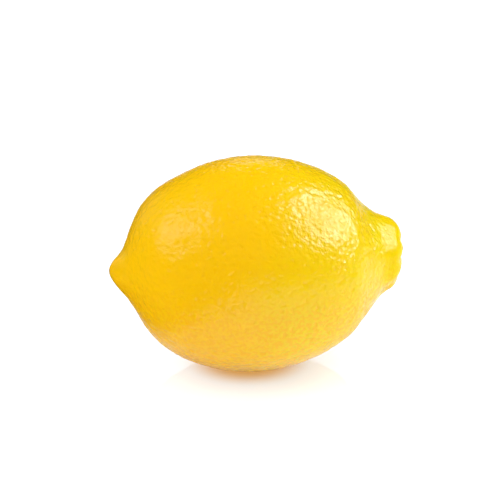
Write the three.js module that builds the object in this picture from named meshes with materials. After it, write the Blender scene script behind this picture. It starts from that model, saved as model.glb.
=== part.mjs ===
// A ripe lemon lying on its side, as picked: the fruit, and the stem button in the hollow of its neck.
// Units are millimetres. +X runs along the fruit's axis to its stem end, and +Z is up. The origin is
// the middle of the small flat spot that the fruit rests on.

import * as THREE from "three";
import { mergeVertices } from "three/addons/utils/BufferGeometryUtils.js";

// Driving dimensions of the fruit. Lengths along the axis are counted from the middle of the belly.
const BELLY_RADIUS = 31;
const STEM_HALF = 40; // half axis of the ellipse that the belly follows towards the stem
const NIPPLE_HALF = 38; // and towards the nipple
const COLLAR_REACH = 43.8; // out to the crest of the collar round the stem
const NIPPLE_REACH = 40.9; // out to the tip of the nipple
const FLAT_DEPTH = 0.5; // how far the belly is pressed in where it rests
const AXIS_HEIGHT = BELLY_RADIUS - FLAT_DEPTH;

// The belly is an ellipse between these two angles from +X, in degrees.
const BELLY_START = 47;
const BELLY_END = 118;
const BELLY_STATIONS = 7;
const BELLY_SAG = 0.3; // towards the stem its sections hang lower, up to this, and are larger by it

// The two ends, as stations of the outline: how far in from the reach, the radius there, and how far
// the middle of that section lies above the axis. Each list runs from the stem towards the nipple.
const STEM_STATIONS = [
  [2.3, 0, 2.3],
  [2.25, 1.9, 2.3],
  [1.9, 3.4, 2.3],
  [0.8, 4.1, 2.3],
  [0, 5.3, 2],
  [0.3, 6.9, 1.5],
  [1, 8.6, 1.2],
  [2.45, 10.2, 1.1],
  [4.5, 11.2, 1],
  [6.8, 12.6, 0.6],
  [8.8, 14.5, 0.1],
  [10.8, 16.6, -0.3],
  [12.8, 18.9, -0.25],
  [14.5, 21, -0.2],
];
const NIPPLE_STATIONS = [
  [17.5, 24.6, 0.2],
  [13.4, 21.55, 0.45],
  [9.9, 17.4, 0.65],
  [7.6, 13.2, 0.65],
  [5.9, 9.95, 0.35],
  [4.2, 7.15, -0.1],
  [2.5, 4.8, -0.4],
  [1, 2.7, -0.3],
  [0.2, 1.1, -0.2],
  [0, 0, -0.2],
];

// The dent over the nipple, in its upper side: how far along the axis, how deep, and its half widths.
const DENT_X = -36.6;
const DENT_DEPTH = 1.6;
const DENT_HALF_LENGTH = 1.8;
const DENT_HALF_ANGLE = 50; // in degrees

// Furrows down the collar: the angle from the top, turning towards -Y, in degrees, and the depth.
const FURROWS = [
  [40, 0.55],
  [90, 0.6],
  [132, 0.6],
  [180, 0.45],
  [222, 0.7],
  [268, 0.5],
  [318, 0.75],
];
const FURROW_HALF_WIDTH = 13; // in degrees
const FURROW_START = 30; // along the axis: from here to the next mark they reach their full depth
const FURROW_FULL = 41;
const CREST_INNER = 2.5; // radii in the hollow between which the furrows and the lean die away
const CREST_OUTER = 5;
const CREST_DEPTH = 4; // length of the collar that leans, from its crest
const CREST_DIP = 0.6; // a furrow also dents the crest, by this share of its depth
const COLLAR_LEAN = 0.05; // the collar's upper side stands this much further out, per unit of height

// Gentle swells: how many go round the axis, their twist per mm, their phase, and their height.
const SWELLS = [
  [3, 0.06, 0.8, 0.22],
  [2, -0.09, 2.1, 0.13],
];
const SWELL_RADII = [6, 24]; // from none to the full height

// The rind is a mesh of even triangles in which every third vertex is the bottom of a pore.
const LATTICE_STEPS = 24; // along one edge of the icosahedron, and a multiple of 3
const PORE_DEPTH = 0.36;
const PORE_DEPTH_SHARES = [0.6, 1.4]; // the pores differ between these shares of that depth
const BETWEEN_PORES = [-0.35, 0.35]; // and so does the skin between them
const PORE_SCATTER = 0.2; // how far a vertex strays from its place, in lattice steps
const PORES_TO_COLLAR = [32, 42]; // along the axis, from the full depth to none
const PORES_TO_NIPPLE = [-31, -40];
const PORES_OVER_FLAT = [0.1, 1.5]; // above the flat spot, from none to the full depth
const FINER_AT_ENDS = 7; // the mesh is this much denser, by area, where the fruit narrows
const FINER_REACH = [2, 16]; // over this length of outline from each end it evens out
const OUTLINE_SAMPLES = 600;
const SEED = 11;

// The stem button: a star of short pointed sepals round the cut stub of the stalk. The profile gives
// radius and height, from the middle of the underside over the sepals and up the stub.
const BUTTON_GAP = 0.3; // clear of the hollow's floor
const BUTTON_SEGMENTS = 60;
const SEPALS = 5;
const SEPAL_TIP = 3.1;
const SEPAL_NOTCH = 2.1;
const SEPAL_CURL = 0.3; // how far the tips bend up
const STUB_RADIUS = 1.35;
const STUB_LENGTH = 3.1;
const STUB_CHIP = 0.14; // how uneven its cut end is
const BUTTON_PROFILE = [
  [0, 0],
  [1.4, 0],
  [2.6, 0.05],
  [SEPAL_TIP, 0.25],
  [2.8, 0.55],
  [2.2, 0.75],
  [1.7, 0.95],
  [STUB_RADIUS, 1.4],
  [1.3, STUB_LENGTH - 0.2],
  [1.1, STUB_LENGTH],
  [0.6, STUB_LENGTH - 0.1],
  [0, STUB_LENGTH - 0.2],
];

const RIND = { color: 0xf7c80c, roughness: 0.38, metalness: 0 };
const WOOD = { color: 0x7d6238, roughness: 0.8, metalness: 0 };

const { clamp, degToRad, lerp, mapLinear, smoothstep } = THREE.MathUtils;

// A repeatable stream of numbers from 0 to 1.
function randomStream(seed) {
  let state = seed;
  return () => {
    state = (state + 0x6d2b79f5) | 0;
    let t = Math.imul(state ^ (state >>> 15), 1 | state);
    t = (t + Math.imul(t ^ (t >>> 7), 61 | t)) ^ t;
    return ((t ^ (t >>> 14)) >>> 0) / 2 ** 32;
  };
}

// The outline from the hollow round the stem to the nipple's tip: x along the axis, y the radius, and
// z the lift of that section.
function outline() {
  const stem = STEM_STATIONS.map(
    ([inset, radius, lift]) => new THREE.Vector3(COLLAR_REACH - inset, radius, lift),
  );
  const belly = Array.from({ length: BELLY_STATIONS }, (_, k) => {
    const angle = degToRad(lerp(BELLY_START, BELLY_END, k / (BELLY_STATIONS - 1)));
    const half = Math.cos(angle) > 0 ? STEM_HALF : NIPPLE_HALF;
    const sag = BELLY_SAG * Math.max(Math.cos(angle), 0);
    return new THREE.Vector3(half * Math.cos(angle), BELLY_RADIUS * Math.sin(angle) + sag, -sag);
  });
  const nipple = NIPPLE_STATIONS.map(
    ([inset, radius, lift]) => new THREE.Vector3(inset - NIPPLE_REACH, radius, lift),
  );
  const curve = new THREE.CatmullRomCurve3([...stem, ...belly, ...nipple]);
  curve.arcLengthDivisions = OUTLINE_SAMPLES;
  return curve;
}

// Gives the station of the outline at a share of the peel's area, counted from the stem end.
function stationByArea(curve) {
  const stations = curve.getSpacedPoints(OUTLINE_SAMPLES);
  const step = curve.getLength() / OUTLINE_SAMPLES;
  const sums = [0];
  for (let k = 1; k <= OUTLINE_SAMPLES; k++) {
    const fromEnd = Math.min(k, OUTLINE_SAMPLES - k) * step;
    const density = lerp(FINER_AT_ENDS, 1, smoothstep(fromEnd, ...FINER_REACH));
    sums.push(sums[k - 1] + density * (stations[k - 1].y + stations[k].y));
  }
  return (share) => {
    const wanted = share * sums[OUTLINE_SAMPLES];
    const above = Math.max(1, sums.findIndex((sum) => sum >= wanted));
    const part = (wanted - sums[above - 1]) / (sums[above] - sums[above - 1]);
    return stations[above - 1].clone().lerp(stations[above], part);
  };
}

// How deep the furrows are at an angle round the axis, in radians from the top.
function furrowAt(angle) {
  return FURROWS.reduce((sum, [middle, depth]) => {
    const off = Math.acos(clamp(Math.cos(angle - degToRad(middle)), -1, 1));
    const widths = off / degToRad(FURROW_HALF_WIDTH);
    return sum + depth * Math.exp(-widths * widths);
  }, 0);
}

// The gentle swells of a fruit that grew unevenly.
function swellAt(angle, x) {
  return SWELLS.reduce(
    (sum, [count, twist, phase, height]) => sum + height * Math.sin(count * angle + twist * x + phase),
    0,
  );
}

// How deep the dent over the nipple is.
function dentAt(angle, x) {
  const along = (x - DENT_X) / DENT_HALF_LENGTH;
  const round = angle / degToRad(DENT_HALF_ANGLE);
  return DENT_DEPTH * Math.exp(-along * along - round * round);
}

// The point of the smooth skin that a direction from the middle of a ball stands for.
function skinPoint(direction, station) {
  const { x, y: radius, z: lift } = station((1 - direction.x) / 2);
  const angle = Math.atan2(-direction.y, direction.z);
  const onCrest = smoothstep(radius, CREST_INNER, CREST_OUTER);
  const furrow = furrowAt(angle) * smoothstep(x, FURROW_START, FURROW_FULL) * onCrest;
  const swell = swellAt(angle, x) * smoothstep(radius, ...SWELL_RADII);
  const out = radius - furrow - dentAt(angle, x) * smoothstep(radius, 0, CREST_INNER) + swell;
  const nearCrest = smoothstep(x, COLLAR_REACH - CREST_DEPTH, COLLAR_REACH);
  const along = x + nearCrest * (COLLAR_LEAN * out * Math.cos(angle) - CREST_DIP * furrow);
  return new THREE.Vector3(along, -out * Math.sin(angle), AXIS_HEIGHT + lift + out * Math.cos(angle));
}

// A ball of even triangles: an icosahedron with each face cut into small ones. A corner stands on +X.
// Its "pore" attribute is 1 at every third vertex, where all three counts from the edges agree.
function poredBall() {
  const solid = new THREE.IcosahedronGeometry(1, 0);
  const corners = solid.getAttribute("position");
  const first = new THREE.Vector3().fromBufferAttribute(corners, 0).normalize();
  solid.applyQuaternion(new THREE.Quaternion().setFromUnitVectors(first, new THREE.Vector3(1, 0, 0)));
  const positions = [];
  const pores = [];
  for (let face = 0; face < corners.count; face += 3) {
    const [a, b, c] = [0, 1, 2].map((k) => new THREE.Vector3().fromBufferAttribute(corners, face + k));
    const add = ([i, j]) => {
      const point = new THREE.Vector3()
        .addScaledVector(a, LATTICE_STEPS - i - j)
        .addScaledVector(b, i)
        .addScaledVector(c, j)
        .normalize();
      positions.push(...point);
      pores.push((i - j) % 3 === 0 ? 1 : 0);
    };
    for (let i = 0; i < LATTICE_STEPS; i++) {
      for (let j = 0; j < LATTICE_STEPS - i; j++) {
        [[i, j], [i + 1, j], [i, j + 1]].forEach(add);
        if (i + j < LATTICE_STEPS - 1) [[i + 1, j], [i + 1, j + 1], [i, j + 1]].forEach(add);
      }
    }
  }
  const ball = new THREE.BufferGeometry();
  ball.setAttribute("position", new THREE.Float32BufferAttribute(positions, 3));
  ball.setAttribute("pore", new THREE.Float32BufferAttribute(pores, 1));
  return mergeVertices(ball, 1e-5);
}

// The smooth skin as a mesh. Its vertices stray a little, but hardly at the two ends.
function skinGeometry(random) {
  const geometry = poredBall();
  const station = stationByArea(outline());
  const position = geometry.getAttribute("position");
  for (let k = 0; k < position.count; k++) {
    const direction = new THREE.Vector3().fromBufferAttribute(position, k);
    const scatter = (PORE_SCATTER * (1 - Math.abs(direction.x) ** 3)) / LATTICE_STEPS;
    const stray = new THREE.Vector3(random(), random(), random()).multiplyScalar(2).subScalar(1);
    direction.addScaledVector(stray, scatter).normalize();
    position.setXYZ(k, ...skinPoint(direction, station));
  }
  geometry.computeVertexNormals();
  return geometry;
}

// The fruit: the smooth skin with its pores sunk in, and pressed flat where it rests.
function fruitGeometry() {
  const random = randomStream(SEED);
  const geometry = skinGeometry(random);
  const position = geometry.getAttribute("position");
  const normal = geometry.getAttribute("normal");
  const pore = geometry.getAttribute("pore");
  const fade = (value, full, none) => 1 - smoothstep(mapLinear(value, full, none, 0, 1), 0, 1);
  for (let k = 0; k < position.count; k++) {
    const skin = new THREE.Vector3().fromBufferAttribute(position, k);
    const inward = new THREE.Vector3().fromBufferAttribute(normal, k).negate();
    const strength = fade(skin.x, ...PORES_TO_COLLAR) * fade(skin.x, ...PORES_TO_NIPPLE);
    const shares = pore.getX(k) === 1 ? PORE_DEPTH_SHARES : BETWEEN_PORES;
    const own = lerp(...shares, random()) * smoothstep(skin.z, ...PORES_OVER_FLAT);
    skin.addScaledVector(inward, PORE_DEPTH * strength * own);
    position.setXYZ(k, skin.x, skin.y, Math.max(skin.z, 0));
  }
  geometry.computeVertexNormals();
  return geometry;
}

// How far the button's rim reaches at an angle, as a share of the sepals' tips.
function sepalReach(angle) {
  const turn = (SEPALS * angle) / (2 * Math.PI);
  const fromTip = 2 * Math.abs(turn - Math.round(turn));
  return lerp(1, SEPAL_NOTCH / SEPAL_TIP, Math.sqrt(fromTip));
}

// The button, round the stalk's axis +Y: a lathed disc with a stub, whose rim is drawn to a star.
function buttonGeometry() {
  const profile = BUTTON_PROFILE.map(([radius, height]) => new THREE.Vector2(radius, height));
  const lathe = new THREE.LatheGeometry(profile, BUTTON_SEGMENTS);
  lathe.deleteAttribute("uv");
  lathe.deleteAttribute("normal");
  const geometry = mergeVertices(lathe, 1e-4);
  const position = geometry.getAttribute("position");
  for (let k = 0; k < position.count; k++) {
    const [x, height, z] = [position.getX(k), position.getY(k), position.getZ(k)];
    const radius = Math.hypot(x, z);
    const angle = Math.atan2(z, x);
    const onSepal = smoothstep(radius, STUB_RADIUS, SEPAL_TIP);
    const scale = lerp(1, sepalReach(angle), onSepal);
    const curl = SEPAL_CURL * smoothstep(radius * scale, SEPAL_NOTCH, SEPAL_TIP);
    const chip = height > STUB_LENGTH - STUB_RADIUS / 2 ? STUB_CHIP * Math.sin(3 * angle) * radius : 0;
    position.setXYZ(k, x * scale, height + curl + chip, z * scale);
  }
  geometry.computeVertexNormals();
  return geometry;
}

function part(name, geometry, material) {
  const mesh = new THREE.Mesh(geometry, new THREE.MeshStandardMaterial(material));
  mesh.name = name;
  return mesh;
}

const fruit = part("fruit", fruitGeometry(), RIND);

const [floorInset, , floorLift] = STEM_STATIONS[0];
const button = part("stem_button", buttonGeometry(), WOOD);
button.position.set(COLLAR_REACH - floorInset + BUTTON_GAP, 0, AXIS_HEIGHT + floorLift);
button.rotation.z = -Math.PI / 2;

const lemon = new THREE.Group();
lemon.add(fruit, button);

export default lemon;
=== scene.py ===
# A ripe lemon lying on its side on a glossy white surface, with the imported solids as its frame.
# Units are metres. +X runs along the fruit's axis to its stem end, and +Z is up.

import math

import bmesh
import bpy
import numpy as np
from bpy.props import FloatProperty, FloatVectorProperty, IntProperty, PointerProperty
from mathutils import Matrix, Vector


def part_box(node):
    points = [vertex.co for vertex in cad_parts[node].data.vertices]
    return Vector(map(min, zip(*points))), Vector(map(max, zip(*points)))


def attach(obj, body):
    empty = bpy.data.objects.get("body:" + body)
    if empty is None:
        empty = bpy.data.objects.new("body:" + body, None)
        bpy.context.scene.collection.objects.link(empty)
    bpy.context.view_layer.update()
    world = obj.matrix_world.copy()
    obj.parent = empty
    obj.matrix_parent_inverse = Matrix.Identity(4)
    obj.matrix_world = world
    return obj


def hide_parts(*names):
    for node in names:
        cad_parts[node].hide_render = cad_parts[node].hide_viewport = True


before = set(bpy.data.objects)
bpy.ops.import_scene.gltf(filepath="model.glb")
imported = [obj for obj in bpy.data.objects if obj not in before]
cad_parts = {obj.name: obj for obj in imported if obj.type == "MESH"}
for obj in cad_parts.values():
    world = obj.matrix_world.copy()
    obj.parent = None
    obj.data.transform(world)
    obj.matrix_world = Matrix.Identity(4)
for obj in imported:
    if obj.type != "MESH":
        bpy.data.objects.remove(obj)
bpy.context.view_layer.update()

FRUIT_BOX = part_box("fruit")
BUTTON_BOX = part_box("stem_button")

bl_info = {
    "name": "Lemon",
    "version": (1, 0, 0),
    "blender": (4, 5, 0),
    "location": "3D View > Sidebar > Lemon",
    "description": "Makes a whole lemon with its pored rind and its stem button",
    "category": "Add Mesh",
}

MM = 0.001

# The smooth skin, in millimetres. Lengths along the axis are counted from the middle of the belly.
BELLY_RADIUS = 31.0
STEM_HALF = 40.0
NIPPLE_HALF = 38.0
COLLAR_REACH = 43.8
NIPPLE_REACH = 40.9
FLAT_DEPTH = 0.5
AXIS_HEIGHT = BELLY_RADIUS - FLAT_DEPTH

# The belly is an ellipse between these two angles from +X, in degrees. Towards the stem its sections
# hang lower, by up to the sag, and are larger by it.
BELLY_START = 47.0
BELLY_END = 118.0
BELLY_STATIONS = 7
BELLY_SAG = 0.3

# The two ends, as stations of the outline: how far in from the reach, the radius there, and how far
# the middle of that section lies above the axis. Each list runs from the stem towards the nipple.
STEM_STATIONS = (
    (2.3, 0.0, 2.3),
    (2.25, 1.9, 2.3),
    (1.9, 3.4, 2.3),
    (0.8, 4.1, 2.3),
    (0.0, 5.3, 2.0),
    (0.3, 6.9, 1.5),
    (1.0, 8.6, 1.2),
    (2.45, 10.2, 1.1),
    (4.5, 11.2, 1.0),
    (6.8, 12.6, 0.6),
    (8.8, 14.5, 0.1),
    (10.8, 16.6, -0.3),
    (12.8, 18.9, -0.25),
    (14.5, 21.0, -0.2),
)
NIPPLE_STATIONS = (
    (17.5, 24.6, 0.2),
    (13.4, 21.55, 0.45),
    (9.9, 17.4, 0.65),
    (7.6, 13.2, 0.65),
    (5.9, 9.95, 0.35),
    (4.2, 7.15, -0.1),
    (2.5, 4.8, -0.4),
    (1.0, 2.7, -0.3),
    (0.2, 1.1, -0.2),
    (0.0, 0.0, -0.2),
)

# The dent over the nipple, in its upper side: how far along the axis, how deep, and its half widths
# in millimetres and in degrees.
DENT_X = -36.6
DENT_DEPTH = 1.6
DENT_HALF_LENGTH = 1.8
DENT_HALF_ANGLE = 50.0

# Furrows down the collar: the angle from the top, turning towards -Y, in degrees, and the depth. They
# set in along the axis and away from it, and dip the crest, which is the collar's last few millimetres.
FURROWS = ((40, 0.55), (90, 0.6), (132, 0.6), (180, 0.45), (222, 0.7), (268, 0.5), (318, 0.75))
FURROW_HALF_WIDTH = 13.0
FURROW_RUN = (30.0, 41.0)
CREST_RADII = (2.5, 5.0)
CREST_DEPTH = 4.0
CREST_DIP = 0.6

# The collar reaches out further at its top, by this share of the height over the axis.
COLLAR_LEAN = 0.05

# Gentle swells: how many go round the axis, their twist per mm, their phase, and their height.
SWELLS = ((3, 0.06, 0.8, 0.22), (2, -0.09, 2.1, 0.13))
SWELL_RADII = (6.0, 24.0)

# Where the pores lie: from their full depth to none, along the axis and above the flat spot.
PORES_TO_COLLAR = (34.0, 42.0)
PORES_TO_NIPPLE = (-33.0, -40.5)
PORES_TO_FLAT = (1.2, 0.1)

# The skin's mesh: an icosahedron's edges are cut into this many steps, and towards the two ends the
# triangles lie closer.
SKIN_STEPS = 98
FINER_AT_ENDS = 3.0
FINER_REACH = (2.0, 14.0)
OUTLINE_SAMPLES = 4000
SAMPLES_PER_SPAN = 200
DIRECTION_DIGITS = 6

# The skin may reach this many times as far as the solid fruit does.
FIT_LIMIT = 1.02

# The small relief: the least and the most share of a middling pore, and the cells per metre and
# roughness of the soft lumps and of the fine beads.
PORE_SHARES = (0.4, 1.4)
LUMP_NOISE = (95.0, 0.5)
BEAD_NOISE = (560.0, 0.4)
NOISE_MIDDLE = 0.5

# The stem button, in millimetres: radius and height, from the middle of the underside over the
# sepals and up the stub.
SEPALS = 5
SEPAL_TIP = 3.1
SEPAL_NOTCH = 1.9
SEPAL_CURL = 0.3
SEPAL_MIDRIB = 0.09
STUB_RADIUS = 1.35
STUB_LENGTH = 3.1
BUTTON_PROFILE = (
    (0.0, 0.0),
    (1.4, 0.0),
    (2.6, 0.05),
    (2.95, 0.12),
    (SEPAL_TIP, 0.27),
    (3.0, 0.42),
    (2.75, 0.55),
    (2.2, 0.75),
    (1.7, 0.95),
    (1.42, 1.2),
    (STUB_RADIUS, 1.5),
    (1.3, 2.2),
    (1.27, STUB_LENGTH - 0.18),
    (1.15, STUB_LENGTH - 0.02),
    (0.9, STUB_LENGTH - 0.05),
    (0.45, STUB_LENGTH - 0.16),
    (0.0, STUB_LENGTH - 0.2),
)
BUTTON_SEGMENTS = 180
BUTTON_ROWS = 90
SEAM_GAP = 1e-7

# How sharply the sepals narrow, and the heights over which their midribs rise and the bark begins.
SEPAL_TAPER = 0.6
RIB_RISE = (0.3, 0.6)
BARK_START = (1.0, 1.4)

# Fibres round the stub: how many, how deep as a share of its radius, and their phase.
STUB_FIBRES = ((17, 0.035, 0.0), (29, 0.025, 1.0))

# The chipped end of the stub: the chips' slope, count and phase, and from where to where below the
# top they grow, and the cut face begins.
CHIP_SLOPE = 0.12
CHIPS = 3
CHIP_PHASE = 0.6
CHIP_GROWTH = (0.5, 0.1)
CUT_FACE = (0.3, 0.1)

# The photograph's view: degrees round the object and above the floor, and where the middle of the
# belly lies and how tall the belly is in its 500 by 500 pixels.
VIEW_AZIMUTH = -8.7
VIEW_ELEVATION = 20.0
VIEW_DISTANCE = 0.7
PHOTO_PIXELS = 500
PHOTO_CENTRE_ROW = 263.3
PHOTO_BELLY_PIXELS = 214.5
PHOTO_METRES_PER_PIXEL = 2.0 * BELLY_RADIUS * MM / PHOTO_BELLY_PIXELS
SENSOR = 0.036

# Soft boxes: the direction they shine from (right, up, towards the camera), their size, and their
# shares of the power in diffuse light and in gloss.
SOFT_BOX_DISTANCE = 1.3
SOFT_BOXES = (
    ("key", (0.78, 0.6, 0.16), (1.2, 1.2), 0.72, 14.0),
    ("fill", (-0.73, 0.56, 0.38), (1.1, 1.1), 0.5, 4.6),
    ("rim", (-0.62, 0.42, -0.66), (0.5, 0.5), 0.02, 1.0),
)

# The white wall behind the fruit that shows in gloss: its direction in the world, and the cosines
# from that direction over which it sets in.
WALL_DIRECTION = (0.14, 0.93, 0.34)
WALL_EDGE = (0.988, 0.995)

# Blotches: cells per metre, and the least and the most that they give.
RIPENING_DRIFT = (28.0, -14.0 * MM, 14.0 * MM)
GOLDEN_PATCHES = (110.0, 0.0, 0.35)
DULL_PATCHES = (260.0, 0.0, 0.3)
SCAR_FRAYING = (900.0, -0.35 * MM, 0.35 * MM)
RIND_ROUGHNESS = (220.0, 0.09, 0.14)
BUTTON_STAINS = (900.0, 0.0, 0.75)
BUTTON_ROUGHNESS = (700.0, 0.65, 0.9)
FLOOR_ROUGHNESS = (8.0, 0.02, 0.04)
MOTTLE_DETAIL = 3.0
MOTTLE_ROUGHNESS = 0.55
MOTTLE_EDGE = (0.3, 0.7)

# Grain: cells per metre, further layers of detail, and depth.
RIND_GRAIN = (1000.0, 1.0, 0.21 * MM)
BUTTON_GRAIN = (3200.0, 3.0, 0.15 * MM)
BUTTON_GRAIN_STRENGTH = 0.5
GRAIN_ROUGHNESS = 0.5

# Changes over the rind: where each starts and ends, and what it gives at its start and at its end.
# All run over places or distances, apart from the one over the height of the grain.
RIPENING = (-26.0 * MM, 36.0 * MM, 0.0, 1.0)
# The speckles low on the fruit are painted shade: a deeper orange in the grain's dips, standing in for the
# grainy reflections of the floor there.
SHADE_SPECKLES_IN_GRAIN = (0.56, 0.42, 0.0, 0.6)
SHADE_SPECKLES_BY_HEIGHT = (33.0 * MM, 22.0 * MM, 0.12, 1.0)
HOLLOW_ROUND = (5.2 * MM, 3.2 * MM, 0.0, 1.0)
HOLLOW_DOWN = ((COLLAR_REACH - 4.0) * MM, (COLLAR_REACH - 2.5) * MM, 0.0, 1.0)
# On the nipple an olive tinge is mixed in. It is darkened further, so it also paints the shade that the
# nipple shows.
NIPPLE_OLIVE_AND_SHADE = (-34.0 * MM, -39.0 * MM, 0.0, 1.0)
SCAR_ROUND = (1.0 * MM, 0.5 * MM, 0.0, 0.85)
SHEEN_TO_COLLAR = (34.0 * MM, 39.0 * MM, 0.5, 0.15)
GRAIN_BY_HEIGHT = (0.5 * MM, 7.0 * MM, 0.25, 1.0)

# How far the pores take on their own colour, and how light goes through the wax and into the flesh.
PORE_STAIN = 0.12
RIND_IOR = 1.45
FLESH_WEIGHT = 0.18
FLESH_RADII = (1.0, 0.45, 0.06)
FLESH_DEPTH = 3.0 * MM

# Changes over the floor, given in the same way: painted warm bounce light from the fruit colours its glow.
# Its glow grows away from the fruit and so paints a soft shadow round it. A little warm glow shows in gloss
# as a painted reflection on the fruit's underside. On the left its gloss darkens, which paints a dark
# reflection on the fruit's lower left.
BOUNCE_TINT_CENTRE = (-0.5 * MM, 0.0, 0.0)
GLOW_CENTRE = (4.0 * MM, 0.0, 0.0)
BOUNCE_TINT_FADE = (8.5 * MM, 19.5 * MM, 0.0, 1.0)
GLOW_SEEN_WITH_SHADOW = (10.0 * MM, 40.0 * MM, 0.58, 0.8)
WARM_GLOW_REFLECTED = (26.0 * MM, 12.0 * MM, 0.0, 0.42)
DARK_REFLECTION_ON_LEFT = (-26.0 * MM, -48.0 * MM, 0.0, 1.0)
FLOOR_IOR = 1.6
WARM_LIGHT = (1.0, 0.5, 0.12)
WHITE = (1.0, 1.0, 1.0)
BLACK = (0.0, 0.0, 0.0)


class LemonSkin(bpy.types.PropertyGroup):
    """Sizes and colours of the rind."""

    pore_spacing: FloatProperty(
        name="Pore Spacing",
        description="Least distance between two pores",
        default=1.5 * MM,
        min=0.5 * MM,
        precision=5,
        subtype="DISTANCE",
        unit="LENGTH",
    )
    pore_width: FloatProperty(
        name="Pore Width",
        description="Width of a middling pore, rim to rim",
        default=1.9 * MM,
        min=0.2 * MM,
        precision=5,
        subtype="DISTANCE",
        unit="LENGTH",
    )
    pore_depth: FloatProperty(
        name="Pore Depth",
        description="Depth of a middling pore",
        default=0.15 * MM,
        min=0.0,
        precision=5,
        subtype="DISTANCE",
        unit="LENGTH",
    )
    bead_height: FloatProperty(
        name="Bead Height",
        description="Height of the small oil glands that raise the skin between the pores",
        default=0.36 * MM,
        min=0.0,
        precision=5,
        subtype="DISTANCE",
        unit="LENGTH",
    )
    lump_height: FloatProperty(
        name="Lump Height",
        description="Height of the soft lumps under the skin",
        default=0.3 * MM,
        min=0.0,
        precision=5,
        subtype="DISTANCE",
        unit="LENGTH",
    )
    seed: IntProperty(
        name="Seed",
        description="Which scatter of pores the rind has",
        default=4,
        min=0,
    )
    golden: FloatVectorProperty(
        name="Golden",
        description="Colour of the rind's ripest side, towards the nipple",
        default=(0.85, 0.485, 0.001),
        min=0.0,
        max=1.0,
        subtype="COLOR",
    )
    lemon_yellow: FloatVectorProperty(
        name="Lemon Yellow",
        description="Colour of the rind towards the stem",
        default=(0.75, 0.57, 0.002),
        min=0.0,
        max=1.0,
        subtype="COLOR",
    )
    pore_colour: FloatVectorProperty(
        name="Pore Colour",
        description="Colour at the bottom of the pores",
        default=(0.82, 0.465, 0.002),
        min=0.0,
        max=1.0,
        subtype="COLOR",
    )
    # Painted shade: these speckles darken the grain's dips low on the fruit.
    shade_speckle_colour: FloatVectorProperty(
        name="Shade Speckle Colour",
        description="Colour of the fine speckles that show low on the fruit",
        default=(0.82, 0.40, 0.002),
        min=0.0,
        max=1.0,
        subtype="COLOR",
    )
    hollow_green: FloatVectorProperty(
        name="Hollow Green",
        description="Colour of the skin down in the hollow round the stem",
        default=(0.42, 0.40, 0.02),
        min=0.0,
        max=1.0,
        subtype="COLOR",
    )
    # This is partly painted shade. Besides its olive tinge, this colour darkens the nipple as shade would.
    tip_olive_and_shade: FloatVectorProperty(
        name="Tip Olive And Shade",
        description="Duller colour that tinges the nipple",
        default=(0.56, 0.33, 0.004),
        min=0.0,
        max=1.0,
        subtype="COLOR",
    )
    scar_brown: FloatVectorProperty(
        name="Scar Brown",
        description="Colour of the dry scar at the nipple's tip",
        default=(0.30, 0.16, 0.03),
        min=0.0,
        max=1.0,
        subtype="COLOR",
    )


class LemonButton(bpy.types.PropertyGroup):
    """Colours of the stem button."""

    sepal_colour: FloatVectorProperty(
        name="Sepal Colour",
        description="Colour of the dried sepals",
        default=(0.20, 0.155, 0.045),
        min=0.0,
        max=1.0,
        subtype="COLOR",
    )
    bark_colour: FloatVectorProperty(
        name="Bark Colour",
        description="Colour of the stub's side",
        default=(0.17, 0.095, 0.04),
        min=0.0,
        max=1.0,
        subtype="COLOR",
    )
    cut_colour: FloatVectorProperty(
        name="Cut Colour",
        description="Colour of the stub's cut end",
        default=(0.34, 0.20, 0.095),
        min=0.0,
        max=1.0,
        subtype="COLOR",
    )


class LemonStage(bpy.types.PropertyGroup):
    """The floor and the light."""

    floor_size: FloatProperty(
        name="Floor Size",
        description="Length of the floor's sides",
        default=6.0,
        min=0.5,
        subtype="DISTANCE",
        unit="LENGTH",
    )
    floor_colour: FloatVectorProperty(
        name="Floor Colour",
        description="Colour of the floor",
        default=(0.95, 0.95, 0.95),
        min=0.0,
        max=1.0,
        subtype="COLOR",
    )
    floor_seen: FloatVectorProperty(
        name="Floor Seen",
        description="Colour of the floor as the camera sees it, under its glow",
        default=(0.32, 0.32, 0.32),
        min=0.0,
        max=1.0,
        subtype="COLOR",
    )
    sky_strength: FloatProperty(
        name="Sky Strength",
        description="Brightness of the white surroundings",
        default=1.0,
        min=0.0,
    )
    mirrored_sky: FloatProperty(
        name="Mirrored Sky",
        description="Brightness of the surroundings as they show in gloss",
        default=0.01,
        min=0.0,
    )
    soft_box_power: FloatProperty(
        name="Soft Box Power",
        description="Power that the shares of the soft boxes are counted in",
        default=10.0,
        min=0.0,
        subtype="POWER",
        unit="POWER",
    )


def smooth_step(values, start, end):
    """Rise smoothly from 0 at start to 1 at end, which may be the lower of the two."""
    share = np.clip((values - start) / (end - start), 0.0, 1.0)
    return share * share * (3.0 - 2.0 * share)


def curve_through(points):
    """Sample the centripetal curve that passes through the points."""
    before = 2 * points[0] - points[1]
    after = 2 * points[-1] - points[-2]
    knots = np.vstack([before, points, after])
    share = np.linspace(0.0, 1.0, SAMPLES_PER_SPAN, endpoint=False)[:, None]
    spans = []
    for p0, p1, p2, p3 in zip(knots, knots[1:], knots[2:], knots[3:]):
        d0, d1, d2 = (np.sum((b - a) ** 2) ** 0.25 for a, b in ((p0, p1), (p1, p2), (p2, p3)))
        leave = ((p1 - p0) / d0 - (p2 - p0) / (d0 + d1) + (p2 - p1) / d1) * d1
        arrive = ((p2 - p1) / d1 - (p3 - p1) / (d1 + d2) + (p3 - p2) / d2) * d1
        square = 3 * (p2 - p1) - 2 * leave - arrive
        cube = 2 * (p1 - p2) + leave + arrive
        spans.append(p1 + leave * share + square * share**2 + cube * share**3)
    return np.vstack(spans + [points[-1:]])


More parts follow.
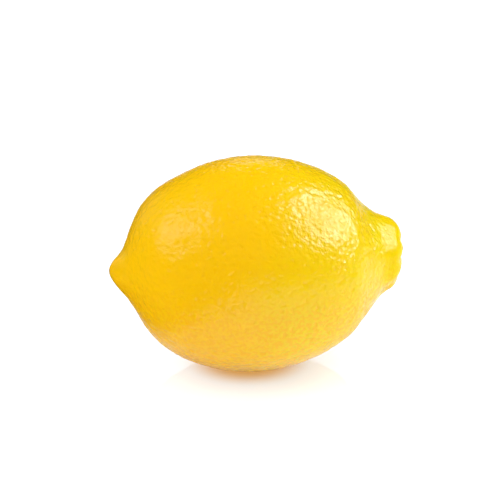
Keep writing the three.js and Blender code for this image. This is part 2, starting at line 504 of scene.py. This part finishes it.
def outline():
    """Give the skin's outline: distance along the axis, radius and lift, at even steps."""
    stem = np.array(STEM_STATIONS) * (-1, 1, 1) + (COLLAR_REACH, 0, 0)
    angles = np.radians(np.linspace(BELLY_START, BELLY_END, BELLY_STATIONS))
    half = np.where(np.cos(angles) > 0, STEM_HALF, NIPPLE_HALF)
    sag = BELLY_SAG * np.maximum(np.cos(angles), 0.0)
    belly = np.stack([half * np.cos(angles), BELLY_RADIUS * np.sin(angles) + sag, -sag], axis=1)
    nipple = np.array(NIPPLE_STATIONS) - (NIPPLE_REACH, 0, 0)
    curve = curve_through(np.vstack([stem, belly, nipple]))
    run = np.concatenate([[0.0], np.cumsum(np.linalg.norm(np.diff(curve, axis=0), axis=1))])
    steps = np.linspace(0.0, run[-1], OUTLINE_SAMPLES + 1)
    return np.stack([np.interp(steps, run, column) for column in curve.T], axis=1), steps


def stations_by_area(shares):
    """Give the outline's stations at shares of the skin's area, counted from the stem end."""
    stations, steps = outline()
    from_end = np.minimum(steps, steps[-1] - steps)[1:]
    density = FINER_AT_ENDS + (1.0 - FINER_AT_ENDS) * smooth_step(from_end, *FINER_REACH)
    area = density * (stations[1:, 1] + stations[:-1, 1])
    sums = np.concatenate([[0.0], np.cumsum(area)])
    return (np.interp(shares, sums / sums[-1], column) for column in stations.T)


def furrows_at(angles):
    """Give the depth of the collar's furrows at angles from the top."""
    depth = np.zeros_like(angles)
    for middle, deepest in FURROWS:
        off = np.arccos(np.clip(np.cos(angles - math.radians(middle)), -1.0, 1.0))
        depth += deepest * np.exp(-((np.degrees(off) / FURROW_HALF_WIDTH) ** 2))
    return depth


def dent_at(angles, x):
    """Give the depth of the dent over the nipple at angles from the top and places on the axis."""
    along = (x - DENT_X) / DENT_HALF_LENGTH
    around = np.degrees(angles) / DENT_HALF_ANGLE
    return DENT_DEPTH * np.exp(-(along**2) - around**2)


def skin_points(directions):
    """Give the point of the smooth skin, in millimetres, for each direction from a ball's middle."""
    x, radius, lift = stations_by_area((1.0 - directions[:, 0]) / 2.0)
    angle = np.arctan2(-directions[:, 1], directions[:, 2])
    furrow = furrows_at(angle) * smooth_step(x, *FURROW_RUN) * smooth_step(radius, *CREST_RADII)
    swell = sum(high * np.sin(count * angle + twist * x + phase) for count, twist, phase, high in SWELLS)
    dent = dent_at(angle, x) * smooth_step(radius, 0.0, CREST_RADII[0])
    out = radius - furrow - dent + swell * smooth_step(radius, *SWELL_RADII)
    near_crest = smooth_step(x, COLLAR_REACH - CREST_DEPTH, COLLAR_REACH)
    along = x + near_crest * (COLLAR_LEAN * out * np.cos(angle) - CREST_DIP * furrow)
    height = AXIS_HEIGHT + lift + out * np.cos(angle)
    return np.stack([along, -out * np.sin(angle), np.maximum(height, 0.0)], axis=1)


def icosahedron():
    """Give the corners and faces of an icosahedron with a corner on +X and one on -X."""
    ring_x = 1.0 / math.sqrt(5.0)
    ring_radius = 2.0 / math.sqrt(5.0)
    turns = np.arange(5) * 2.0 * math.pi / 5.0
    corners = [(1.0, 0.0, 0.0)]
    for side, offset in ((1, 0.0), (-1, math.pi / 5.0)):
        for turn in turns + offset:
            corners.append((side * ring_x, ring_radius * math.cos(turn), ring_radius * math.sin(turn)))
    corners.append((-1.0, 0.0, 0.0))
    faces = []
    for k in range(5):
        near, near_next = 1 + k, 1 + (k + 1) % 5
        far, far_next = 6 + k, 6 + (k + 1) % 5
        faces += [(0, near, near_next), (near, far, near_next)]
        faces += [(near_next, far, far_next), (11, far_next, far)]
    return np.array(corners), faces


def even_ball(steps):
    """Give the vertices and triangles of a ball: an icosahedron with its faces cut into small ones."""
    corners, faces = icosahedron()
    lattice = [(i, j) for i in range(steps + 1) for j in range(steps + 1 - i)]
    place = {at: k for k, at in enumerate(lattice)}
    i, j = np.array(lattice).T[:, :, None]
    points = [corners[a] * (steps - i - j) + corners[b] * i + corners[c] * j for a, b, c in faces]
    small = []
    for i, j in lattice:
        if i + j < steps:
            small.append((place[i, j], place[i + 1, j], place[i, j + 1]))
        if i + j < steps - 1:
            small.append((place[i + 1, j], place[i + 1, j + 1], place[i, j + 1]))
    triangles = np.vstack([np.array(small) + face * len(lattice) for face in range(len(faces))])
    directions = np.vstack(points)
    directions /= np.linalg.norm(directions, axis=1)[:, None]
    rounded = np.round(directions, DIRECTION_DIGITS)
    _, first, merged = np.unique(rounded, axis=0, return_index=True, return_inverse=True)
    return directions[first], merged.reshape(-1)[triangles]


def new_piece(name, points, faces):
    """Make a mesh object, smooth shaded, from points in metres and a table of faces."""
    mesh = bpy.data.meshes.new(name)
    mesh.from_pydata(points.tolist(), [], faces.tolist())
    mesh.shade_smooth()
    mesh.validate()
    piece = bpy.data.objects.new(name, mesh)
    bpy.context.scene.collection.objects.link(piece)
    return piece


def store(mesh, name, values):
    """Store a number for each vertex under a name."""
    attribute = mesh.attributes.new(name, "FLOAT", "POINT")
    attribute.data.foreach_set("value", values.astype(np.float32))


def set_inputs(tree, node, inputs):
    """Link or set a node's inputs, given by name or number."""
    for key, value in inputs.items():
        if isinstance(value, bpy.types.NodeSocket):
            tree.links.new(value, node.inputs[key])
        else:
            node.inputs[key].default_value = value


def new_node(tree, kind, inputs=(), **settings):
    """Add a node with its settings, and set or link its inputs, given by name or number."""
    node = tree.nodes.new(kind)
    for setting, value in settings.items():
        setattr(node, setting, value)
    set_inputs(tree, node, dict(inputs))
    return node


def math_node(tree, operation, first, second):
    """Add a Math node and give its result."""
    return new_node(tree, "ShaderNodeMath", {0: first, 1: second}, operation=operation).outputs[0]


def noise(tree, vector, scale, detail, roughness):
    """Add soft noise and give its value."""
    inputs = {"Vector": vector, "Scale": scale, "Detail": detail, "Roughness": roughness}
    return new_node(tree, "ShaderNodeTexNoise", inputs).outputs[0]


def ramp(tree, value, start, end, low, high):
    """Map a value from start..end to low..high with soft ends."""
    inputs = {0: value, 1: start, 2: end, 3: low, 4: high}
    return new_node(tree, "ShaderNodeMapRange", inputs, interpolation_type="SMOOTHSTEP").outputs[0]


def scattered_pores(tree, given):
    """Scatter pores of uneven size over the skin, and give how deep in one each point lies."""
    spacing = given["Pore Spacing"]
    inputs = {
        "Mesh": given["Geometry"],
        "Distance Min": spacing,
        "Density Max": math_node(tree, "DIVIDE", 1.0, math_node(tree, "POWER", spacing, 2.0)),
        "Density Factor": 1.0,
        "Seed": given["Seed"],
    }
    scatter = new_node(tree, "GeometryNodeDistributePointsOnFaces", inputs, distribute_method="POISSON")
    pores = scatter.outputs["Points"]
    nearest = new_node(tree, "GeometryNodeSampleNearest", {0: pores}).outputs[0]
    away = new_node(tree, "GeometryNodeProximity", {0: pores}, target_element="POINTS").outputs["Distance"]
    least, most = PORE_SHARES
    inputs = {2: least, 3: most, 7: nearest}
    share = new_node(tree, "FunctionNodeRandomValue", inputs, data_type="FLOAT").outputs[1]
    half_width = math_node(tree, "MULTIPLY", math_node(tree, "MULTIPLY", given["Pore Width"], 0.5), share)
    sunk = ramp(tree, math_node(tree, "DIVIDE", away, half_width), 0.0, 1.0, 1.0, 0.0)
    return math_node(tree, "MULTIPLY", sunk, share)


def soft_relief(tree, given):
    """Give the rise of the soft lumps and of the fine beads."""
    place = tree.nodes.new("GeometryNodeInputPosition").outputs[0]
    rises = []
    for (scale, roughness), height in ((LUMP_NOISE, "Lump Height"), (BEAD_NOISE, "Bead Height")):
        uneven = noise(tree, place, scale, 1.0, roughness)
        level = math_node(tree, "SUBTRACT", uneven, NOISE_MIDDLE)
        rises.append(math_node(tree, "MULTIPLY", level, given[height]))
    return math_node(tree, "ADD", *rises)


def pore_tree(rind):
    """Build the tree that raises the skin in soft lumps and beads and sinks its pores."""
    tree = bpy.data.node_groups.new("Rind Pores", "GeometryNodeTree")
    tree.interface.new_socket("Geometry", in_out="INPUT", socket_type="NodeSocketGeometry")
    for name in ("Pore Spacing", "Pore Width", "Pore Depth", "Bead Height", "Lump Height"):
        tree.interface.new_socket(name, in_out="INPUT", socket_type="NodeSocketFloat")
    tree.interface.new_socket("Seed", in_out="INPUT", socket_type="NodeSocketInt")
    tree.interface.new_socket("Geometry", in_out="OUTPUT", socket_type="NodeSocketGeometry")
    given = tree.nodes.new("NodeGroupInput").outputs

    pored = new_node(tree, "GeometryNodeInputNamedAttribute", {"Name": "pored"}, data_type="FLOAT").outputs[0]
    pore = math_node(tree, "MULTIPLY", scattered_pores(tree, given), pored)
    relief = math_node(tree, "MULTIPLY", soft_relief(tree, given), pored)
    sunk = math_node(tree, "MULTIPLY", pore, given["Pore Depth"])
    rise = math_node(tree, "SUBTRACT", relief, sunk)
    normal = tree.nodes.new("GeometryNodeInputNormal").outputs[0]
    offset = new_node(tree, "ShaderNodeVectorMath", {0: normal, "Scale": rise}, operation="SCALE").outputs[0]

    inputs = {"Geometry": given["Geometry"], "Name": "pore", "Value": pore}
    marked = new_node(tree, "GeometryNodeStoreNamedAttribute", inputs, data_type="FLOAT", domain="POINT")
    inputs = {"Geometry": marked.outputs[0], "Offset": offset}
    moved = new_node(tree, "GeometryNodeSetPosition", inputs).outputs[0]
    real = new_node(tree, "GeometryNodeRealizeInstances", {0: moved}).outputs[0]
    coated = new_node(tree, "GeometryNodeSetMaterial", {"Geometry": real, "Material": rind}).outputs[0]
    new_node(tree, "NodeGroupOutput", {0: coated})
    return tree


def apply_tree(piece, tree, values):
    """Run a node tree on a piece with the values given by name, and keep the result as its mesh."""
    modifier = piece.modifiers.new(tree.name, "NODES")
    modifier.node_group = tree
    for socket in tree.interface.items_tree:
        if socket.in_out == "INPUT" and socket.name in values:
            modifier[socket.identifier] = values[socket.name]
    evaluated = piece.evaluated_get(bpy.context.evaluated_depsgraph_get())
    mesh = bpy.data.meshes.new_from_object(evaluated)
    mesh.name = piece.name
    piece.modifiers.remove(modifier)
    piece.data = mesh


def shader_group(name, inputs, outputs):
    """Make an empty shader group, and give it and the sockets of its inputs."""
    group = bpy.data.node_groups.new(name, "ShaderNodeTree")
    for label, kind in inputs:
        group.interface.new_socket(label, in_out="INPUT", socket_type=f"NodeSocket{kind}")
    for label, kind in outputs:
        group.interface.new_socket(label, in_out="OUTPUT", socket_type=f"NodeSocket{kind}")
    return group, group.nodes.new("NodeGroupInput").outputs


def mottle_group(name):
    """Build the group for soft, uneven blotches, which every material here uses."""
    inputs = [("Vector", "Vector")] + [(label, "Float") for label in ("Scale", "Detail", "Low", "High")]
    group, given = shader_group(name, inputs, [("Value", "Float")])
    uneven = noise(group, given["Vector"], given["Scale"], given["Detail"], MOTTLE_ROUGHNESS)
    value = ramp(group, uneven, *MOTTLE_EDGE, given["Low"], given["High"])
    new_node(group, "NodeGroupOutput", {0: value})
    return group


def grain_group(name):
    """Build the group for fine grain, which the rind and the stem button use."""
    sizes = ("Scale", "Detail", "Distance", "Strength")
    inputs = [("Vector", "Vector")] + [(label, "Float") for label in sizes]
    group, given = shader_group(name, inputs, [("Height", "Float"), ("Normal", "Vector")])
    height = noise(group, given["Vector"], given["Scale"], given["Detail"], GRAIN_ROUGHNESS)
    inputs = {"Strength": given["Strength"], "Distance": given["Distance"], "Height": height}
    bump = new_node(group, "ShaderNodeBump", inputs)
    new_node(group, "NodeGroupOutput", {0: height, 1: bump.outputs[0]})
    return group


def placed_group(tree, name, build, inputs):
    """Place a group in a material, building it if it is new, and give its outputs."""
    group = bpy.data.node_groups.get(name) or build(name)
    return new_node(tree, "ShaderNodeGroup", inputs, node_tree=group).outputs


def mottle(tree, here, scale, low, high):
    """Add blotches to a material and give their value."""
    inputs = {"Vector": here, "Scale": scale, "Detail": MOTTLE_DETAIL, "Low": low, "High": high}
    return placed_group(tree, "Mottle", mottle_group, inputs)["Value"]


def grain(tree, here, scale, detail, distance, strength):
    """Add grain to a material, and give its height and its normal."""
    inputs = {"Vector": here, "Scale": scale, "Detail": detail, "Distance": distance, "Strength": strength}
    outputs = placed_group(tree, "Grain", grain_group, inputs)
    return outputs["Height"], outputs["Normal"]


def new_material(name):
    """Make a material with an empty Principled shader, and give it, its tree and the shader."""
    material = bpy.data.materials.new(name)
    material.use_nodes = True
    return material, material.node_tree, material.node_tree.nodes["Principled BSDF"]


def mixed(tree, factor, first, second):
    """Mix two colours, given as sockets or as red, green and blue."""
    colours = [c if isinstance(c, bpy.types.NodeSocket) else (*c, 1.0) for c in (first, second)]
    node = new_node(tree, "ShaderNodeMix", {0: factor, 6: colours[0], 7: colours[1]}, data_type="RGBA")
    return node.outputs[2]


def distance_from(tree, place, here):
    """Give the distance between a place and the point that is shaded."""
    node = new_node(tree, "ShaderNodeVectorMath", {0: here, 1: place}, operation="DISTANCE")
    return node.outputs["Value"]


def stored(tree, name):
    """Give the number that is stored in the mesh under a name."""
    return new_node(tree, "ShaderNodeAttribute", attribute_name=name).outputs["Fac"]


def ripe_colour(tree, here, x, skin):
    """Golden at the nipple and lemon yellow at the stem, in patches, and deeper in the pores."""
    along = math_node(tree, "ADD", x, mottle(tree, here, *RIPENING_DRIFT))
    ripe = mixed(tree, ramp(tree, along, *RIPENING), skin.golden, skin.lemon_yellow)
    patched = mixed(tree, mottle(tree, here, *GOLDEN_PATCHES), ripe, skin.golden)
    stain = math_node(tree, "MULTIPLY", stored(tree, "pore"), PORE_STAIN)
    return mixed(tree, stain, patched, skin.pore_colour)


def shade_speckled(tree, colour, relief, z, skin):
    """Paint shade into a colour as fine speckles in the dips of the grain, most of all low on the fruit, in
    place of the grainy reflections there.
    """
    dips = ramp(tree, relief, *SHADE_SPECKLES_IN_GRAIN)
    share = math_node(tree, "MULTIPLY", dips, ramp(tree, z, *SHADE_SPECKLES_BY_HEIGHT))
    return mixed(tree, share, colour, skin.shade_speckle_colour)


def green_in_hollow(tree, colour, here, x, skin):
    """Turn a colour green down in the hollow round the stem."""
    across = new_node(tree, "ShaderNodeVectorMath", {0: here, 1: (0.0, 1.0, 1.0)}, operation="MULTIPLY")
    axis = (0.0, 0.0, (AXIS_HEIGHT + STEM_STATIONS[0][2]) * MM)
    from_axis = distance_from(tree, axis, across.outputs[0])
    inside = math_node(tree, "MULTIPLY", ramp(tree, from_axis, *HOLLOW_ROUND), ramp(tree, x, *HOLLOW_DOWN))
    return mixed(tree, inside, colour, skin.hollow_green)


def olive_and_shade_on_nipple(tree, colour, here, x, skin):
    """Tinge a colour olive on the nipple, which also paints shade on it, and turn it brown at the scar on its
    tip.
    """
    olive = math_node(tree, "MULTIPLY", ramp(tree, x, *NIPPLE_OLIVE_AND_SHADE), mottle(tree, here, *DULL_PATCHES))
    olive_and_shaded = mixed(tree, olive, colour, skin.tip_olive_and_shade)
    tip = (-NIPPLE_REACH * MM, 0.0, (AXIS_HEIGHT + NIPPLE_STATIONS[-1][2]) * MM)
    from_tip = distance_from(tree, tip, here)
    frayed = math_node(tree, "ADD", from_tip, mottle(tree, here, *SCAR_FRAYING))
    return mixed(tree, ramp(tree, frayed, *SCAR_ROUND), olive_and_shaded, skin.scar_brown)


def rind_material(skin):
    """The waxy rind, with the colours of its parts, its grain, and flesh that light enters."""
    material, tree, shader = new_material("Waxy Rind")
    here = tree.nodes.new("ShaderNodeTexCoord").outputs["Object"]
    x, _, z = new_node(tree, "ShaderNodeSeparateXYZ", {0: here}).outputs
    relief, normal = grain(tree, here, *RIND_GRAIN, ramp(tree, z, *GRAIN_BY_HEIGHT))
    ripe = ripe_colour(tree, here, x, skin)
    greened = green_in_hollow(tree, shade_speckled(tree, ripe, relief, z, skin), here, x, skin)
    set_inputs(
        tree,
        shader,
        {
            "Base Color": olive_and_shade_on_nipple(tree, greened, here, x, skin),
            "Roughness": mottle(tree, here, *RIND_ROUGHNESS),
            "Specular IOR Level": ramp(tree, x, *SHEEN_TO_COLLAR),
            "Normal": normal,
            "IOR": RIND_IOR,
            "Subsurface Weight": FLESH_WEIGHT,
            "Subsurface Radius": FLESH_RADII,
            "Subsurface Scale": FLESH_DEPTH,
        },
    )
    return material


def button_material(colours):
    """Dry sepals, bark on the stub, and the fibres of its cut end."""
    material, tree, shader = new_material("Dry Stem")
    here = tree.nodes.new("ShaderNodeTexCoord").outputs["Object"]
    dry = mixed(tree, stored(tree, "stub"), colours.sepal_colour, colours.bark_colour)
    ended = mixed(tree, stored(tree, "cut"), dry, colours.cut_colour)
    _, normal = grain(tree, here, *BUTTON_GRAIN, BUTTON_GRAIN_STRENGTH)
    set_inputs(
        tree,
        shader,
        {
            "Base Color": mixed(tree, mottle(tree, here, *BUTTON_STAINS), ended, colours.bark_colour),
            "Roughness": mottle(tree, here, *BUTTON_ROUGHNESS),
            "Normal": normal,
        },
    )
    return material


def floor_material(stage):
    """A white glossy board that glows to the camera, dimmer near the fruit as a painted shadow, with painted
    warm bounce light round the fruit and painted reflections in gloss.
    """
    material, tree, shader = new_material("White Gloss")
    here = tree.nodes.new("ShaderNodeTexCoord").outputs["Object"]
    x = new_node(tree, "ShaderNodeSeparateXYZ", {0: here}).outputs[0]
    rays = tree.nodes.new("ShaderNodeLightPath").outputs
    seen = mixed(tree, rays["Is Camera Ray"], stage.floor_colour, stage.floor_seen)
    # Painted reflection: on the left the floor turns black in gloss, so the fruit's lower left reflects it
    # dark.
    dark = math_node(tree, "MULTIPLY", ramp(tree, x, *DARK_REFLECTION_ON_LEFT), rays["Is Glossy Ray"])
    # Painted bounce light: the glow turns warm orange near the fruit, as light thrown from the fruit would
    # make it.
    bounce_tint = ramp(tree, distance_from(tree, BOUNCE_TINT_CENTRE, here), *BOUNCE_TINT_FADE)
    away = distance_from(tree, GLOW_CENTRE, here)
    # Painted shadow: the floor glows to the camera, but less near the fruit, so a soft shade lies round it.
    glow = math_node(tree, "MULTIPLY", ramp(tree, away, *GLOW_SEEN_WITH_SHADOW), rays["Is Camera Ray"])
    # Painted reflection: near the fruit the floor glows warm in gloss only, so the fruit's underside reflects
    # a warm light.
    warm = math_node(tree, "MULTIPLY", ramp(tree, away, *WARM_GLOW_REFLECTED), rays["Is Glossy Ray"])
    set_inputs(
        tree,
        shader,
        {
            "Base Color": mixed(tree, dark, seen, BLACK),
            "Roughness": mottle(tree, here, *FLOOR_ROUGHNESS),
            "Emission Color": mixed(tree, bounce_tint, WARM_LIGHT, WHITE),
            "Emission Strength": math_node(tree, "ADD", glow, warm),
            "IOR": FLOOR_IOR,
        },
    )
    return material


class LEMON_OT_fruit(bpy.types.Operator):
    """Make the fruit: its smooth skin, with soft lumps and the pores of its rind"""

    bl_idname = "lemon.fruit"
    bl_label = "Fruit"

    def execute(self, context):
        skin = context.scene.lemon_skin
        directions, triangles = even_ball(SKIN_STEPS)
        points = skin_points(directions)
        if np.abs(points[:, 0] * MM).max() > max(-FRUIT_BOX[0][0], FRUIT_BOX[1][0]) * FIT_LIMIT:
            raise RuntimeError("The skin doesn't fit the solid fruit")
        fruit = new_piece("fruit_rind", points * MM, triangles)
        x, _, z = points.T
        pored = smooth_step(x, *PORES_TO_COLLAR[::-1]) * smooth_step(x, *PORES_TO_NIPPLE[::-1])
        store(fruit.data, "pored", pored * smooth_step(z, *PORES_TO_FLAT[::-1]))
        values = {
            "Pore Spacing": skin.pore_spacing,
            "Pore Width": skin.pore_width,
            "Pore Depth": skin.pore_depth,
            "Bead Height": skin.bead_height,
            "Lump Height": skin.lump_height,
            "Seed": skin.seed,
        }
        apply_tree(fruit, pore_tree(rind_material(skin)), values)
        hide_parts("fruit")
        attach(fruit, "root")
        return {"FINISHED"}


def sepal_reach(angles):
    """Give how far the button's rim reaches at an angle, as a share of the sepals' tips."""
    turn = SEPALS * angles / (2.0 * math.pi)
    from_tip = 2.0 * np.abs(turn - np.round(turn))
    return 1.0 + (SEPAL_NOTCH / SEPAL_TIP - 1.0) * from_tip**SEPAL_TAPER


def button_points(axis_height):
    """Give the button's points in rows round the stalk's axis, in millimetres."""
    profile = np.array(BUTTON_PROFILE)
    run = np.concatenate([[0.0], np.cumsum(np.linalg.norm(np.diff(profile, axis=0), axis=1))])
    rows = np.linspace(0.0, run[-1], BUTTON_ROWS)
    radius, height = (np.interp(rows, run, column)[:, None] for column in profile.T)
    angle = (np.arange(BUTTON_SEGMENTS) * 2.0 * math.pi / BUTTON_SEGMENTS)[None]
    on_sepal = smooth_step(radius, STUB_RADIUS, SEPAL_TIP)
    scale = 1.0 + (sepal_reach(angle) - 1.0) * on_sepal
    ribbed = 2.0 * SEPAL_MIDRIB * np.cos(SEPALS * angle) * smooth_step(height, *RIB_RISE) * on_sepal
    curl = SEPAL_CURL * smooth_step(radius * scale, SEPAL_NOTCH, SEPAL_TIP)
    on_stub = smooth_step(height, *BARK_START)
    fibres = sum(deep * np.sin(count * angle + phase) for count, deep, phase in STUB_FIBRES)
    out = radius * scale * (1.0 + fibres * on_stub)
    below_top = STUB_LENGTH - height
    chip = CHIP_SLOPE * np.sin(CHIPS * angle + CHIP_PHASE) * radius * smooth_step(below_top, *CHIP_GROWTH)
    up = height + curl + ribbed + chip
    along = up + BUTTON_BOX[0][0] / MM
    side = -out * np.cos(angle)
    points = np.stack([along, side, axis_height + out * np.sin(angle)], axis=-1)
    return points, on_stub + 0 * angle, smooth_step(below_top, *CUT_FACE) + 0 * angle


def close_seams(mesh):
    """Merge a mesh's doubled points and turn its faces outwards."""
    shape = bmesh.new()
    shape.from_mesh(mesh)
    bmesh.ops.remove_doubles(shape, verts=shape.verts, dist=SEAM_GAP)
    bmesh.ops.recalc_face_normals(shape, faces=shape.faces)
    shape.to_mesh(mesh)
    shape.free()


class LEMON_OT_stem_button(bpy.types.Operator):
    """Make the stem button: dried sepals round the cut stub of the stalk"""

    bl_idname = "lemon.stem_button"
    bl_label = "Stem Button"

    def execute(self, context):
        axis_height = (BUTTON_BOX[0][2] + BUTTON_BOX[1][2]) / 2.0 / MM
        points, stub, cut = button_points(axis_height)
        rows, columns = points.shape[:2]
        grid = np.arange(rows * columns).reshape(rows, columns)
        around = np.roll(grid, -1, axis=1)
        faces = np.stack([grid[:-1], grid[1:], around[1:], around[:-1]], axis=-1).reshape(-1, 4)
        button = new_piece("stem_button_star", points.reshape(-1, 3) * MM, faces)
        store(button.data, "stub", stub.reshape(-1))
        store(button.data, "cut", cut.reshape(-1))
        close_seams(button.data)
        button.data.materials.append(button_material(context.scene.lemon_button))
        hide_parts("stem_button")
        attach(button, "root")
        return {"FINISHED"}


def camera_axes():
    """Give the camera's right, up and back directions."""
    azimuth, elevation = math.radians(VIEW_AZIMUTH), math.radians(VIEW_ELEVATION)
    level = math.cos(elevation)
    back = Vector((math.sin(azimuth) * level, -math.cos(azimuth) * level, math.sin(elevation)))
    right = Vector((math.cos(azimuth), math.sin(azimuth), 0.0))
    return right, back.cross(right), back


def add_camera():
    """Place the camera so that the belly's middle lies at its row of the photograph."""
    right, up, back = camera_axes()
    below_centre = (PHOTO_CENTRE_ROW - PHOTO_PIXELS / 2) * PHOTO_METRES_PER_PIXEL
    aim = Vector((0.0, 0.0, AXIS_HEIGHT * MM)) + up * below_centre
    data = bpy.data.cameras.new("Camera")
    data.sensor_width = SENSOR / MM
    data.lens = data.sensor_width * VIEW_DISTANCE / (PHOTO_PIXELS * PHOTO_METRES_PER_PIXEL)
    camera = bpy.data.objects.new("Camera", data)
    turn = Matrix((right, up, back)).transposed().to_4x4()
    camera.matrix_world = Matrix.Translation(aim + back * VIEW_DISTANCE) @ turn
    bpy.context.scene.collection.objects.link(camera)
    bpy.context.scene.camera = camera


def add_soft_boxes(power):
    """Hang the soft boxes round the fruit, each as one light for gloss and one for the rest."""
    right, up, back = camera_axes()
    middle = Vector((0.0, 0.0, AXIS_HEIGHT * MM))
    for name, (to_right, to_up, to_camera), (width, height), *shares in SOFT_BOXES:
        away = (right * to_right + up * to_up + back * to_camera).normalized()
        for kind, share in zip(("diffuse", "gloss"), shares):
            data = bpy.data.lights.new(f"{name}_{kind}", "AREA")
            data.shape = "ELLIPSE"
            data.size, data.size_y = width, height
            data.energy = power * share
            light = bpy.data.objects.new(data.name, data)
            light.location = middle + away * SOFT_BOX_DISTANCE
            light.rotation_euler = away.to_track_quat("Z", "Y").to_euler()
            light.visible_diffuse = kind == "diffuse"
            light.visible_glossy = kind == "gloss"
            bpy.context.scene.collection.objects.link(light)


def white_surroundings(stage):
    """Make a white room that is dim in gloss, but for the white wall behind the fruit."""
    world = bpy.data.worlds.new("White Surroundings")
    world.use_nodes = True
    tree = world.node_tree
    in_gloss = tree.nodes.new("ShaderNodeLightPath").outputs["Is Glossy Ray"]
    direction = tree.nodes.new("ShaderNodeTexCoord").outputs["Generated"]
    inputs = {0: direction, 1: WALL_DIRECTION}
    towards_wall = new_node(tree, "ShaderNodeVectorMath", inputs, operation="DOT_PRODUCT").outputs["Value"]
    mirrored = ramp(tree, towards_wall, *WALL_EDGE, stage.mirrored_sky, 1.0)
    inputs = {0: in_gloss, 1: 0.0, 2: 1.0, 3: stage.sky_strength, 4: mirrored}
    strength = new_node(tree, "ShaderNodeMapRange", inputs).outputs[0]
    background = tree.nodes["Background"]
    set_inputs(tree, background, {"Color": (*WHITE, 1.0), "Strength": strength})
    return world


class LEMON_OT_stage(bpy.types.Operator):
    """Make the white floor, the white surroundings, the soft boxes and the camera"""

    bl_idname = "lemon.stage"
    bl_label = "Stage"

    def execute(self, context):
        stage = context.scene.lemon_stage
        half = stage.floor_size / 2.0
        corners = np.array([(-half, -half, 0), (half, -half, 0), (half, half, 0), (-half, half, 0)])
        floor = new_piece("floor", corners, np.array([(0, 1, 2, 3)]))
        floor.data.materials.append(floor_material(stage))
        context.scene.world = white_surroundings(stage)
        context.scene.view_settings.view_transform = "Standard"
        add_soft_boxes(stage.soft_box_power)
        add_camera()
        return {"FINISHED"}


class LEMON_PT_pieces(bpy.types.Panel):
    """The lemon's pieces, with their sizes and colours"""

    bl_label = "Lemon"
    bl_space_type = "VIEW_3D"
    bl_region_type = "UI"
    bl_category = "Lemon"

    def draw(self, context):
        scene = context.scene
        for operator, group in (
            (LEMON_OT_fruit, scene.lemon_skin),
            (LEMON_OT_stem_button, scene.lemon_button),
            (LEMON_OT_stage, scene.lemon_stage),
        ):
            box = self.layout.box()
            box.operator(operator.bl_idname)
            for name in group.bl_rna.properties.keys():
                if name not in ("rna_type", "name"):
                    box.prop(group, name)


CLASSES = (
    LemonSkin,
    LemonButton,
    LemonStage,
    LEMON_OT_fruit,
    LEMON_OT_stem_button,
    LEMON_OT_stage,
    LEMON_PT_pieces,
)


def register():
    for cls in CLASSES:
        bpy.utils.register_class(cls)
    bpy.types.Scene.lemon_skin = PointerProperty(type=LemonSkin)
    bpy.types.Scene.lemon_button = PointerProperty(type=LemonButton)
    bpy.types.Scene.lemon_stage = PointerProperty(type=LemonStage)


def unregister():
    del bpy.types.Scene.lemon_stage
    del bpy.types.Scene.lemon_button
    del bpy.types.Scene.lemon_skin
    for cls in reversed(CLASSES):
        bpy.utils.unregister_class(cls)


def main():
    """Make the lemon and its stage."""
    register()
    bpy.ops.lemon.fruit()
    bpy.ops.lemon.stem_button()
    bpy.ops.lemon.stage()


if __name__ == "__main__":
    main()
